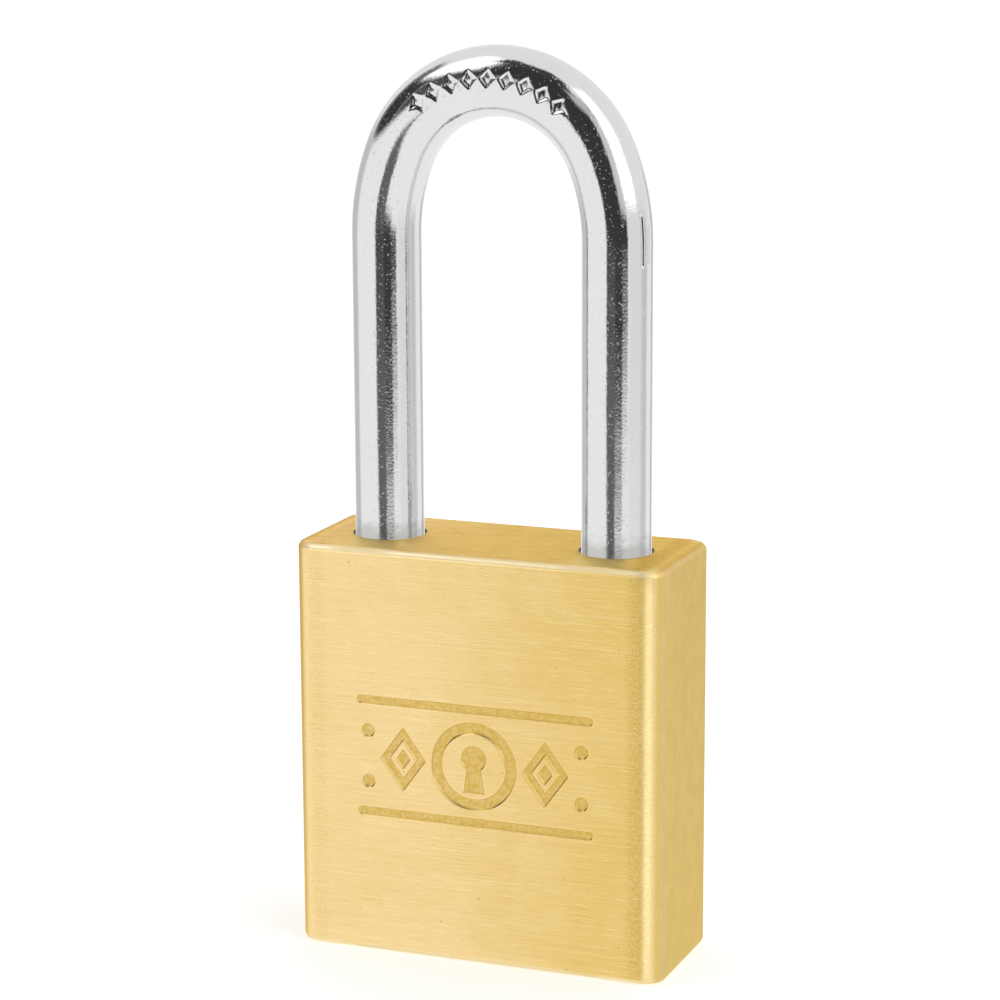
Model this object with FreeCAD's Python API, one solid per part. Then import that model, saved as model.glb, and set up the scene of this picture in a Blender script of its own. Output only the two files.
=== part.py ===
import FreeCAD, Part
import math
import os

# Solid brass block padlock with a tall chromed shackle, in millimetres.
# Origin: centre of the body's underside. +Z runs up the shackle legs, +X points to the toe leg
# (the one that comes free) and -Y is the engraved front.
# Pose: shackle pushed home, plug turned to the position where the locking balls let it lift.

V = FreeCAD.Vector
X_AXIS = V(1, 0, 0)
Y_AXIS = V(0, 1, 0)
Z_AXIS = V(0, 0, 1)
OVERCUT = 1.0  # how far a cutter runs past the surface it starts from

# ---- driving dimensions: body block ----
BODY_WIDTH = 44.45
BODY_DEPTH = 18.0
BODY_HEIGHT = 47.6
CORNER_RADIUS = 2.67
RIM_RADIUS = 0.8
MOUTH_BREAK = 0.2

# ---- driving dimensions: shackle ----
ROD_RADIUS = 7.94 / 2
LEG_SPACING = 27.6
CLEAR_HEIGHT = 48.0
CROWN_RADIUS = 12.9
SHOULDER_RADIUS = 25.0
BORE_RADIUS = ROD_RADIUS + 0.1
TOE_DEPTH = 13.4
TOE_FREEING_LIFT = 0.8
LEG_END_CHAMFER = 0.6
COLLAR_HEIGHT = 6.0

# ---- driving dimensions: locking balls ----
BALL_RADIUS = 6.35 / 2
BALL_DROP = 8.4
BALL_BITE = 2.0
TOE_BALL_RETRACT = 2.2
HEEL_BALL_RETRACT = 1.0
NOTCH_RADIUS = BALL_RADIUS + 0.175
NECK_DEPTH = 1.2
RUNNING_GAP = 0.05

# ---- driving dimensions: key cylinder ----
CYLINDER_RECESS = 0.4
SHELL_RADIUS = 7.0
SHELL_TOP = 28.6
PIN_TOWER_RADIUS = 4.2
PIN_TOWER_CENTRE_X = 12.8
PLUG_RADIUS = 5.5
PLUG_TOP = 30.6
FLANGE_RADIUS = 6.2
FLANGE_HEIGHT = 1.4
CLIP_BOTTOM = SHELL_TOP + 0.2
CLIP_THICKNESS = 0.7
CLIP_INNER_RADIUS = 4.75
CLIP_OUTER_RADIUS = 6.3
CLIP_OPENING = 5.0
TANG_WIDTH = 3.0
TANG_LENGTH = 8.0
TANG_HEIGHT = 2.2
PIN_RADIUS = 1.45
PIN_END_CHAMFER = 0.3
PIN_TIP_RADIUS = 0.5
PIN_TIP_HEIGHT = 0.9
FIRST_PIN_Z = 5.6
PIN_PITCH = 3.96
KEY_PIN_LENGTHS = (4.2, 5.4, 4.8, 6.0, 5.1)
KEY_PIN_OUTER_END = PLUG_RADIUS - 0.15
PLUG_HOLE_FLOOR = -1.2
DRIVER_LENGTH = 4.4
DRIVER_INNER_END = PLUG_RADIUS + 0.08
COVER_INNER_X = 15.6
COVER_THICKNESS = 0.8
COVER_WIDTH = 3.5
COVER_LENGTH = 20.2
KEYWAY_STEPS = ((-4.6, -2.7, -1.0, 0.7), (-2.7, -0.4, -0.5, 1.1), (-0.4, 2.4, -1.0, 0.7))

# ---- driving dimensions: retaining screw ----
SCREW_RADIUS = 3.5 / 2
SCREW_HEAD_RADIUS = 3.1
SCREW_HEAD_HEIGHT = 2.0
SCREW_TIP_Z = 24.4
SOCKET_RADIUS = 1.45
SOCKET_DEPTH = 1.2
TOE_BORE_FLOOR = 31.2

# ---- driving dimensions: springs ----
LIFT_SPRING_WIRE = 0.45
LIFT_SPRING_RADIUS = 3.1
LIFT_SPRING_TURNS = 6.5
PIN_SPRING_WIRE = 0.15
PIN_SPRING_RADIUS = 1.05
PIN_SPRING_TURNS = 7
HEEL_BORE_FLOOR = 6.0

# ---- driving dimensions: engraving and punched marks ----
ENGRAVING_DEPTH = 0.25
EMBLEM_Z = 23.4
EMBLEM_RULE_LENGTH = 28.4
EMBLEM_RULE_WIDTH = 0.9
EMBLEM_HALF_HEIGHT = 6.6
RING_OUTER_RADIUS = 5.1
RING_INNER_RADIUS = 3.9
KEYHOLE_RADIUS = 1.45
KEYHOLE_RISE = 0.9
KEYHOLE_FOOT = 3.1
LOZENGE_X = 8.6
LOZENGE_WIDTH = 5.4
LOZENGE_HEIGHT = 7.4
LOZENGE_BAND = 0.85
STUD_X = 12.9
STUD_RISE = 3.0
STUD_RADIUS = 0.75
MARK_COUNT = 9
MARK_STEP = 9.5
MARK_TILT = -8.0
MARK_DEPTH = 0.25
MARK_WIDTH = 1.5
MARK_LENGTH = 2.0
SCORE_WIDTH = 0.35
SCORE_DEPTH = 0.15
LEG_SCORES = ((63, 79.9, 85.2), (77, 79.9, 84.0))

# ---- worked out from the above ----
LEG_X = LEG_SPACING / 2
BALL_Z = BODY_HEIGHT - BALL_DROP
LOCKED_BALL_X = LEG_X - ROD_RADIUS + BALL_BITE - BALL_RADIUS
OPEN_TOE_BALL_X = LOCKED_BALL_X - TOE_BALL_RETRACT
OPEN_HEEL_BALL_X = LOCKED_BALL_X - HEEL_BALL_RETRACT
LIFT = TOE_DEPTH + TOE_FREEING_LIFT
TOE_END_Z = BODY_HEIGHT - TOE_DEPTH
HEEL_END_Z = BALL_Z - LIFT - COLLAR_HEIGHT
BOW_RISE = CROWN_RADIUS + math.sqrt(
    (SHOULDER_RADIUS - CROWN_RADIUS) ** 2 - (SHOULDER_RADIUS - LEG_X) ** 2)
SPRING_LINE_Z = BODY_HEIGHT + CLEAR_HEIGHT + ROD_RADIUS - BOW_RISE
CROWN_Z = SPRING_LINE_Z + BOW_RISE - CROWN_RADIUS
SHOULDER_ANGLE = math.degrees(math.atan2(BOW_RISE - CROWN_RADIUS, SHOULDER_RADIUS - LEG_X))
ACTUATOR_RADIUS = LOCKED_BALL_X - BALL_RADIUS - RUNNING_GAP
ACTUATOR_BORE_RADIUS = ACTUATOR_RADIUS + 2 * RUNNING_GAP
ACTUATOR_BOTTOM = PLUG_TOP + 0.4
ACTUATOR_TOP = BALL_Z + BALL_RADIUS + 0.325
PLUG_CHAMBER_TOP = PLUG_TOP + 0.3
COVER_BOTTOM = FIRST_PIN_Z + 2 * PIN_PITCH - COVER_LENGTH / 2
FRONT_Y = -BODY_DEPTH / 2


def rod(radius, start, direction, length):
    """Plain cylinder."""
    return Part.makeCylinder(radius, length, start, direction)


def turned(corners, axis_x=0.0):
    """Solid turned about a vertical axis from (radius, height) corners."""
    points = [V(axis_x + radius, 0, height) for radius, height in corners]
    outline = Part.makePolygon(points + points[:1])
    return Part.Face(outline).revolve(V(axis_x, 0, 0), Z_AXIS, 360)


def block(x_range, y_range, z_range):
    """Box between two corners."""
    size = [high - low for low, high in (x_range, y_range, z_range)]
    return Part.makeBox(size[0], size[1], size[2], V(x_range[0], y_range[0], z_range[0]))


def coil(mean_radius, wire_radius, length, turns):
    """Open coil spring standing on the origin along +Z."""
    pitch = (length - 2 * wire_radius) / turns
    path = Part.Wire(Part.makeHelix(pitch, pitch * turns, mean_radius))
    tangent = V(0, 2 * math.pi * mean_radius, pitch)
    section = Part.Wire(Part.makeCircle(wire_radius, V(mean_radius, 0, 0), tangent))
    spring = path.makePipeShell([section], True, True)
    spring.translate(V(0, 0, wire_radius))
    return spring


# ---------------------------------------------------------------- engraving

def front_cutter(face):
    """Cutter that sinks a flat shape, drawn at y = 0, into the front face."""
    cutter = face.extrude(V(0, OVERCUT + ENGRAVING_DEPTH, 0))
    cutter.translate(V(0, FRONT_Y - OVERCUT, 0))
    return cutter


def flat_disc(x, z, radius):
    return Part.Face(Part.Wire(Part.makeCircle(radius, V(x, 0, z), Y_AXIS)))


def flat_polygon(corners):
    points = [V(x, 0, z) for x, z in corners]
    return Part.Face(Part.makePolygon(points + points[:1]))


def lozenge(x, width, height):
    half_w = width / 2
    half_h = height / 2
    return flat_polygon([(x - half_w, EMBLEM_Z), (x, EMBLEM_Z + half_h),
                         (x + half_w, EMBLEM_Z), (x, EMBLEM_Z - half_h)])


def emblem_rule(side):
    """Straight groove above or below the emblem, with round ends."""
    z = EMBLEM_Z + side * EMBLEM_HALF_HEIGHT
    half = EMBLEM_RULE_WIDTH / 2
    reach = EMBLEM_RULE_LENGTH / 2 - half
    bar = flat_polygon([(-reach, z - half), (reach, z - half), (reach, z + half), (-reach, z + half)])
    ends = [flat_disc(end, z, half) for end in (-reach, reach)]
    return front_cutter(bar).fuse([front_cutter(end) for end in ends])


def keyhole_cutter():
    """Keyhole: a round head over a flared foot."""
    z = EMBLEM_Z + KEYHOLE_RISE
    head = front_cutter(flat_disc(0, z, KEYHOLE_RADIUS))
    waist = KEYHOLE_RADIUS * 0.45
    foot_half = KEYHOLE_RADIUS * 0.85
    foot = flat_polygon([(-waist, z), (waist, z), (foot_half, z - KEYHOLE_FOOT - KEYHOLE_RISE),
                         (-foot_half, z - KEYHOLE_FOOT - KEYHOLE_RISE)])
    return head.fuse(front_cutter(foot))


def emblem_cutters():
    """Plain ornament: two rules, a ringed keyhole, two lozenge frames and four studs."""
    ring = flat_disc(0, EMBLEM_Z, RING_OUTER_RADIUS).cut(flat_disc(0, EMBLEM_Z, RING_INNER_RADIUS))
    cutters = [emblem_rule(-1), emblem_rule(1), keyhole_cutter(), front_cutter(ring)]
    slope = math.hypot(LOZENGE_WIDTH, LOZENGE_HEIGHT)
    inset_width = LOZENGE_WIDTH - 2 * LOZENGE_BAND * slope / LOZENGE_HEIGHT
    inset_height = LOZENGE_HEIGHT - 2 * LOZENGE_BAND * slope / LOZENGE_WIDTH
    for side in (-1, 1):
        x = side * LOZENGE_X
        frame = lozenge(x, LOZENGE_WIDTH, LOZENGE_HEIGHT).cut(lozenge(x, inset_width, inset_height))
        cutters.append(front_cutter(frame))
        cutters.append(front_cutter(lozenge(x, inset_width / 2, inset_height / 2)))
        for rise in (-STUD_RISE, STUD_RISE):
            cutters.append(front_cutter(flat_disc(side * STUD_X, EMBLEM_Z + rise, STUD_RADIUS)))
    return cutters


# ---------------------------------------------------------------- body

def body_blank():
    """Rectangular block with rounded upright corners and softened top and bottom rims."""
    half_w = BODY_WIDTH / 2
    blank = block((-half_w, half_w), (FRONT_Y, -FRONT_Y), (0, BODY_HEIGHT))
    upright = [edge for edge in blank.Edges if abs(edge.tangentAt(edge.FirstParameter).z) > 0.5]
    blank = blank.makeFillet(CORNER_RADIUS, upright)
    rims = [edge for edge in blank.Edges if abs(edge.tangentAt(edge.FirstParameter).z) < 0.5]
    return blank.makeFillet(RIM_RADIUS, rims)


def leg_bore(x, floor):
    """Bore for one shackle leg, with its mouth just broken."""
    mouth = BODY_HEIGHT - MOUTH_BREAK
    flare = MOUTH_BREAK + OVERCUT
    return turned([(0, floor), (BORE_RADIUS, floor), (BORE_RADIUS, mouth),
                   (BORE_RADIUS + flare, mouth + flare), (0, mouth + flare)], x)


def ball_passage():
    """Cross hole between the two leg bores that carries the balls."""
    return rod(BALL_RADIUS + RUNNING_GAP, V(-LEG_X, 0, BALL_Z), X_AXIS, LEG_SPACING)


def cylinder_chamber():
    """Pocket for the key cylinder, open at the underside, with the plug's and the cam's bores above."""
    gap = RUNNING_GAP
    shell = rod(SHELL_RADIUS + gap, V(0, 0, -OVERCUT), Z_AXIS, PLUG_CHAMBER_TOP + OVERCUT)
    tower_height = SHELL_TOP + gap + OVERCUT
    tower_end = rod(PIN_TOWER_RADIUS + gap, V(PIN_TOWER_CENTRE_X, 0, -OVERCUT), Z_AXIS, tower_height)
    tower_half = PIN_TOWER_RADIUS + gap
    tower = block((0, PIN_TOWER_CENTRE_X), (-tower_half, tower_half), (-OVERCUT, SHELL_TOP + gap))
    cam_top = ACTUATOR_TOP + 4 * gap
    cam = rod(ACTUATOR_BORE_RADIUS, V(0, 0, PLUG_CHAMBER_TOP - gap), Z_AXIS, cam_top - PLUG_CHAMBER_TOP + gap)
    return shell.fuse([tower_end, tower, cam])


def body():
    screw_hole = rod(SCREW_RADIUS + 2 * RUNNING_GAP, V(LEG_X, 0, SHELL_TOP), Z_AXIS,
                     TOE_BORE_FLOOR - SHELL_TOP + OVERCUT)
    cutters = [leg_bore(-LEG_X, HEEL_BORE_FLOOR), leg_bore(LEG_X, TOE_BORE_FLOOR), ball_passage(),
               cylinder_chamber(), screw_hole]
    return body_blank().cut(cutters + emblem_cutters())


# ---------------------------------------------------------------- shackle

def bent_rod(centre_x, centre_z, radius, start_angle, sweep):
    """Stretch of round rod bent in the XZ plane, running anticlockwise as seen from the front."""
    angle = math.radians(start_angle)
    start = V(centre_x + radius * math.cos(angle), 0, centre_z + radius * math.sin(angle))
    tangent = V(-math.sin(angle), 0, math.cos(angle))
    section = Part.Face(Part.Wire(Part.makeCircle(ROD_RADIUS, start, tangent)))
    return section.revolve(V(centre_x, 0, centre_z), V(0, -1, 0), sweep)


def leg(x, end_z):
    """Straight leg, chamfered at its lower end."""
    return turned([(0, end_z), (ROD_RADIUS - LEG_END_CHAMFER, end_z),
                   (ROD_RADIUS, end_z + LEG_END_CHAMFER), (ROD_RADIUS, SPRING_LINE_Z),
                   (0, SPRING_LINE_Z)], x)


def ball_notch(side):
    """Pocket that the locking ball enters from the inner side of a leg."""
    return Part.makeSphere(NOTCH_RADIUS, V(side * LOCKED_BALL_X, 0, BALL_Z))


def heel_neck():
    """Turned-down neck that runs past the heel ball as the shackle lifts."""
    neck_radius = ROD_RADIUS - NECK_DEPTH
    outside = ROD_RADIUS + OVERCUT
    low = BALL_Z - LIFT
    return turned([(neck_radius, low), (outside, low), (outside, BALL_Z + OVERCUT),
                   (ROD_RADIUS, BALL_Z), (neck_radius, BALL_Z - NECK_DEPTH)], -LEG_X)


def heel_groove():
    """Full-depth round groove under the neck, where the heel ball sits when the shackle is up."""
    ring_radius = LEG_X - LOCKED_BALL_X
    return Part.makeTorus(ring_radius, NOTCH_RADIUS, V(-LEG_X, 0, BALL_Z - LIFT), Z_AXIS)


def punched_mark(index):
    """Small lozenge sunk in the front of the bow, tilted a little towards its outer side."""
    half_w = MARK_WIDTH / 2
    half_l = MARK_LENGTH / 2
    outline = flat_polygon([(-half_w, 0), (0, half_l), (half_w, 0), (0, -half_l)])
    mark = outline.extrude(V(0, OVERCUT + MARK_DEPTH, 0))
    mark.translate(V(0, -ROD_RADIUS - OVERCUT, 0))
    mark.rotate(V(0, 0, 0), X_AXIS, MARK_TILT)
    mark.translate(V(0, 0, CROWN_RADIUS))
    mark.rotate(V(0, 0, 0), Y_AXIS, (index - (MARK_COUNT - 1) / 2) * MARK_STEP)
    mark.translate(V(0, 0, CROWN_Z))
    return mark


def leg_score(bearing, low, high):
    """Fine lengthwise score on the toe leg, at a bearing turned from the front towards +X."""
    half = SCORE_WIDTH / 2
    score = block((-half, half), (-ROD_RADIUS - OVERCUT, SCORE_DEPTH - ROD_RADIUS), (low, high))
    score.rotate(V(0, 0, 0), Z_AXIS, bearing)
    score.translate(V(LEG_X, 0, 0))
    return score


def shackle():
    """U-shaped rod: two legs, two gently bent shoulders and a rounder crown."""
    toe_shoulder = bent_rod(LEG_X - SHOULDER_RADIUS, SPRING_LINE_Z, SHOULDER_RADIUS, 0, SHOULDER_ANGLE)
    heel_shoulder = bent_rod(SHOULDER_RADIUS - LEG_X, SPRING_LINE_Z, SHOULDER_RADIUS,
                             180 - SHOULDER_ANGLE, SHOULDER_ANGLE)
    crown = bent_rod(0, CROWN_Z, CROWN_RADIUS, SHOULDER_ANGLE, 180 - 2 * SHOULDER_ANGLE)
    hoop = leg(LEG_X, TOE_END_Z).fuse([toe_shoulder, crown, heel_shoulder, leg(-LEG_X, HEEL_END_Z)])
    cutters = [ball_notch(1), ball_notch(-1), heel_neck(), heel_groove()]
    cutters += [punched_mark(index) for index in range(MARK_COUNT)]
    cutters += [leg_score(bearing, low, high) for bearing, low, high in LEG_SCORES]
    return hoop.removeSplitter().cut(cutters)


def shackle_spring():
    """Compression spring under the heel leg."""
    length = HEEL_END_Z - HEEL_BORE_FLOOR - 2 * RUNNING_GAP
    spring = coil(LIFT_SPRING_RADIUS, LIFT_SPRING_WIRE, length, LIFT_SPRING_TURNS)
    spring.translate(V(-LEG_X, 0, HEEL_BORE_FLOOR + RUNNING_GAP))
    return spring


# ---------------------------------------------------------------- locking balls and cam

def locking_ball(x):
    return Part.makeSphere(BALL_RADIUS, V(x, 0, BALL_Z))


def cam_scoop(open_x, open_angle):
    """Scoop that lets one ball sink steadily inwards over the quarter turn that opens the lock."""
    reach = BALL_RADIUS + RUNNING_GAP
    growth = (LOCKED_BALL_X - open_x) / (math.pi / 2)
    flank = []
    for step in range(7):
        turn = math.radians(step * 15)
        radius = open_x + growth * turn
        angle = math.radians(open_angle) + turn
        outward = V(math.cos(angle), math.sin(angle), 0)
        onward = V(-math.sin(angle), math.cos(angle), 0)
        inward = (onward * growth - outward * radius).normalize()
        flank.append(outward * radius + inward * reach)
    curve = Part.BSplineCurve()
    curve.interpolate(flank)
    far = 2 * ACTUATOR_RADIUS
    rim = [V(far * math.cos(math.radians(open_angle + a)), far * math.sin(math.radians(open_angle + a)), 0)
           for a in (90, 45, 0)]
    edges = [curve.toShape(), Part.makeLine(flank[-1], rim[0]), Part.Arc(rim[0], rim[1], rim[2]).toShape(),
             Part.makeLine(rim[2], flank[0])]
    area = Part.Face(Part.Wire(edges))
    seat_angle = math.radians(open_angle)
    seat = V(open_x * math.cos(seat_angle), open_x * math.sin(seat_angle), 0)
    height = V(0, 0, ACTUATOR_TOP)
    scoop = area.extrude(height).fuse(rod(reach, seat, Z_AXIS, ACTUATOR_TOP))
    scoop.translate(V(0, 0, BALL_Z - NOTCH_RADIUS))
    return scoop


def actuator_cam():
    """Round cam that the plug turns: full radius holds the balls out, scoops let them in."""
    drum = turned([(0, ACTUATOR_BOTTOM), (ACTUATOR_RADIUS - PIN_END_CHAMFER, ACTUATOR_BOTTOM),
                   (ACTUATOR_RADIUS, ACTUATOR_BOTTOM + PIN_END_CHAMFER), (ACTUATOR_RADIUS, ACTUATOR_TOP),
                   (0, ACTUATOR_TOP)])
    slot_half = TANG_WIDTH / 2 + RUNNING_GAP
    slot = block((-ACTUATOR_RADIUS, ACTUATOR_RADIUS), (-slot_half, slot_half),
                 (ACTUATOR_BOTTOM - OVERCUT, PLUG_TOP + TANG_HEIGHT + 4 * RUNNING_GAP))
    return drum.cut([slot, cam_scoop(OPEN_TOE_BALL_X, 0), cam_scoop(OPEN_HEEL_BALL_X, 180)])


# ---------------------------------------------------------------- key cylinder

def pin_heights():
    return [FIRST_PIN_Z + index * PIN_PITCH for index in range(len(KEY_PIN_LENGTHS))]


def cylinder_housing():
    """Fixed shell of the key cylinder, with the pin tower along its toe side."""
    height = SHELL_TOP - CYLINDER_RECESS
    shell = rod(SHELL_RADIUS, V(0, 0, CYLINDER_RECESS), Z_AXIS, height)
    tower_end = rod(PIN_TOWER_RADIUS, V(PIN_TOWER_CENTRE_X, 0, CYLINDER_RECESS), Z_AXIS, height)
    tower = block((0, PIN_TOWER_CENTRE_X), (-PIN_TOWER_RADIUS, PIN_TOWER_RADIUS),
                  (CYLINDER_RECESS, SHELL_TOP))
    plug_bore = rod(PLUG_RADIUS + RUNNING_GAP, V(0, 0, 0), Z_AXIS, SHELL_TOP + OVERCUT)
    flange_seat = rod(FLANGE_RADIUS + 2 * RUNNING_GAP, V(0, 0, 0), Z_AXIS,
                      CYLINDER_RECESS + FLANGE_HEIGHT + RUNNING_GAP)
    pin_holes = [rod(PIN_RADIUS + RUNNING_GAP, V(0, 0, z), X_AXIS, PIN_TOWER_CENTRE_X + PIN_TOWER_RADIUS)
                 for z in pin_heights()]
    groove_half = COVER_WIDTH / 2 + RUNNING_GAP
    cover_groove = block((COVER_INNER_X, COVER_INNER_X + PIN_TOWER_RADIUS), (-groove_half, groove_half),
                         (COVER_BOTTOM - RUNNING_GAP, COVER_BOTTOM + COVER_LENGTH + RUNNING_GAP))
    screw_hole = rod(SCREW_RADIUS + RUNNING_GAP, V(LEG_X, 0, SCREW_TIP_Z - 4 * RUNNING_GAP), Z_AXIS, height)
    casting = shell.fuse([tower_end, tower]).removeSplitter()
    return casting.cut([plug_bore, flange_seat, cover_groove, screw_hole] + pin_holes)


def cylinder_plug():
    """Turning plug with the keyway, the key-pin holes, the clip groove and the driving tang."""
    clip_top = CLIP_BOTTOM + CLIP_THICKNESS
    groove_radius = CLIP_INNER_RADIUS - RUNNING_GAP
    low = CYLINDER_RECESS
    barrel = turned([(0, low), (FLANGE_RADIUS - PIN_END_CHAMFER, low), (FLANGE_RADIUS, low + PIN_END_CHAMFER),
                     (FLANGE_RADIUS, low + FLANGE_HEIGHT), (PLUG_RADIUS, low + FLANGE_HEIGHT),
                     (PLUG_RADIUS, CLIP_BOTTOM - RUNNING_GAP), (groove_radius, CLIP_BOTTOM - RUNNING_GAP),
                     (groove_radius, clip_top + RUNNING_GAP), (PLUG_RADIUS, clip_top + RUNNING_GAP),
                     (PLUG_RADIUS, PLUG_TOP), (0, PLUG_TOP)])
    tang = block((-TANG_LENGTH / 2, TANG_LENGTH / 2), (-TANG_WIDTH / 2, TANG_WIDTH / 2),
                 (PLUG_TOP - RUNNING_GAP, PLUG_TOP + TANG_HEIGHT))
    keyway = [block((x_low, x_high), (y_low, y_high), (0, CLIP_BOTTOM - OVERCUT))
              for y_low, y_high, x_low, x_high in KEYWAY_STEPS]
    pin_holes = [rod(PIN_RADIUS + RUNNING_GAP, V(0, PLUG_HOLE_FLOOR, z), Y_AXIS, 2 * PLUG_RADIUS)
                 for z in pin_heights()]
    return barrel.fuse(tang).cut(keyway + pin_holes)


def key_pin(length, z):
    """Pointed pin that rides on the key, lying along +Y in the open plug."""
    pin = turned([(0, -length), (PIN_TIP_RADIUS, -length), (PIN_RADIUS, PIN_TIP_HEIGHT - length),
                  (PIN_RADIUS, -PIN_END_CHAMFER), (PIN_RADIUS - PIN_END_CHAMFER, 0), (0, 0)])
    pin.rotate(V(0, 0, 0), X_AXIS, -90)
    pin.translate(V(0, KEY_PIN_OUTER_END, z))
    return pin


def driver_pin(z):
    """Blunt pin pushed towards the plug by its spring, lying along +X in the pin tower."""
    rim = PIN_RADIUS - PIN_END_CHAMFER
    pin = turned([(0, 0), (rim, 0), (PIN_RADIUS, PIN_END_CHAMFER),
                  (PIN_RADIUS, DRIVER_LENGTH - PIN_END_CHAMFER), (rim, DRIVER_LENGTH), (0, DRIVER_LENGTH)])
    pin.rotate(V(0, 0, 0), Y_AXIS, 90)
    pin.translate(V(DRIVER_INNER_END, 0, z))
    return pin


def driver_spring(z):
    """Fine spring between a driver pin and the chamber cover."""
    start = DRIVER_INNER_END + DRIVER_LENGTH + RUNNING_GAP
    spring = coil(PIN_SPRING_RADIUS, PIN_SPRING_WIRE, COVER_INNER_X - RUNNING_GAP - start, PIN_SPRING_TURNS)
    spring.rotate(V(0, 0, 0), Y_AXIS, 90)
    spring.translate(V(start, 0, z))
    return spring


def pin_chamber_cover():
    """Strip staked over the outer ends of the pin holes."""
    return block((COVER_INNER_X, COVER_INNER_X + COVER_THICKNESS), (-COVER_WIDTH / 2, COVER_WIDTH / 2),
                 (COVER_BOTTOM, COVER_BOTTOM + COVER_LENGTH))


def plug_retainer_clip():
    """Open ring in the plug's groove, which stops the plug from sliding out of its shell."""
    start = V(0, 0, CLIP_BOTTOM)
    ring = rod(CLIP_OUTER_RADIUS, start, Z_AXIS, CLIP_THICKNESS)
    hole = rod(CLIP_INNER_RADIUS, start, Z_AXIS, CLIP_THICKNESS)
    opening = block((-CLIP_OUTER_RADIUS, 0), (-CLIP_OPENING / 2, CLIP_OPENING / 2),
                    (CLIP_BOTTOM, CLIP_BOTTOM + CLIP_THICKNESS))
    return ring.cut([hole, opening])


def cylinder_retaining_screw():
    """Socket screw under the toe leg that holds the key cylinder in."""
    head_top = TOE_BORE_FLOOR + SCREW_HEAD_HEIGHT
    screw = turned([(0, SCREW_TIP_Z), (SCREW_RADIUS - PIN_END_CHAMFER, SCREW_TIP_Z),
                    (SCREW_RADIUS, SCREW_TIP_Z + PIN_END_CHAMFER), (SCREW_RADIUS, TOE_BORE_FLOOR),
                    (SCREW_HEAD_RADIUS, TOE_BORE_FLOOR), (SCREW_HEAD_RADIUS, head_top - PIN_END_CHAMFER),
                    (SCREW_HEAD_RADIUS - PIN_END_CHAMFER, head_top), (0, head_top)], LEG_X)
    corners = [V(LEG_X + SOCKET_RADIUS * math.cos(math.radians(60 * k)),
                 SOCKET_RADIUS * math.sin(math.radians(60 * k)), head_top - SOCKET_DEPTH) for k in range(6)]
    socket = Part.Face(Part.makePolygon(corners + corners[:1])).extrude(V(0, 0, SOCKET_DEPTH + OVERCUT))
    return screw.cut(socket)


# ---------------------------------------------------------------- all pieces

def pieces():
    parts = {
        "body": body(),
        "shackle": shackle(),
        "shackle_spring": shackle_spring(),
        "heel_locking_ball": locking_ball(-OPEN_HEEL_BALL_X),
        "toe_locking_ball": locking_ball(OPEN_TOE_BALL_X),
        "actuator_cam": actuator_cam(),
        "cylinder_housing": cylinder_housing(),
        "cylinder_plug": cylinder_plug(),
        "plug_retainer_clip": plug_retainer_clip(),
        "pin_chamber_cover": pin_chamber_cover(),
        "cylinder_retaining_screw": cylinder_retaining_screw(),
    }
    for number, (length, z) in enumerate(zip(KEY_PIN_LENGTHS, pin_heights()), start=1):
        parts["key_pin_%d" % number] = key_pin(length, z)
        parts["driver_pin_%d" % number] = driver_pin(z)
        parts["driver_spring_%d" % number] = driver_spring(z)
    return parts


os.makedirs("parts", exist_ok=True)
for name, shape in pieces().items():
    shape.exportStep("parts/%s.step" % name)
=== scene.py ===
import math

import bmesh
import bpy
import numpy as np
from mathutils import Matrix, Vector


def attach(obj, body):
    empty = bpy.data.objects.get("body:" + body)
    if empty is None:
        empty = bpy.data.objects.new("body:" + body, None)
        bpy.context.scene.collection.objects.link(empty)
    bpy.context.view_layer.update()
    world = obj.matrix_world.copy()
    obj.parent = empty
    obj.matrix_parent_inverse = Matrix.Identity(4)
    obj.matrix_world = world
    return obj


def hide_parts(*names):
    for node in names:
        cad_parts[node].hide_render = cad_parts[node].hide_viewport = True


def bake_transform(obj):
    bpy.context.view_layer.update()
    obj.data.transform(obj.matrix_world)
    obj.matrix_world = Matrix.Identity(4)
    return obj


# Brass block padlock with a tall chromed shackle. Dimensions below are in millimetres, in the part's
# own frame: origin under the middle of the body, +X to the toe leg, -Y the engraved front, +Z up.

MM = 0.001

# ---- body block ----
BODY_WIDTH = 44.45
BODY_DEPTH = 18.0
BODY_HEIGHT = 47.6
CORNER_RADIUS = 2.67
RIM_RADIUS = 0.8
HALF_WIDTH = BODY_WIDTH / 2
HALF_DEPTH = BODY_DEPTH / 2
INNER_REACH_X = 18.6  # the bores and the chamber all lie within these two
INNER_REACH_Y = 7.6
WALL_STEP = 1.0
ROW_STEP = 1.5
CORNER_STEPS = 12
RIM_STEP_ANGLE = 11
FLAT_RING = 0.12  # flat strip kept inside the rim at top and bottom
BORE_SHARP_ANGLE = 28

# ---- engraved ornament ----
ENGRAVING_DEPTH = 0.25
ENGRAVING_SLOPE = 0.2
ENGRAVING_GRID = 0.085
EMBLEM_Z = 23.4
EMBLEM_RULE_LENGTH = 28.4
EMBLEM_RULE_WIDTH = 0.9
EMBLEM_HALF_HEIGHT = 6.6
RING_OUTER_RADIUS = 5.1
RING_INNER_RADIUS = 3.9
KEYHOLE_RADIUS = 1.45
KEYHOLE_RISE = 0.9
KEYHOLE_FOOT = 3.1
LOZENGE_X = 8.6
LOZENGE_WIDTH = 5.4
LOZENGE_HEIGHT = 7.4
LOZENGE_BAND = 0.85
STUD_X = 12.9
STUD_RISE = 3.0
STUD_RADIUS = 0.75

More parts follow.
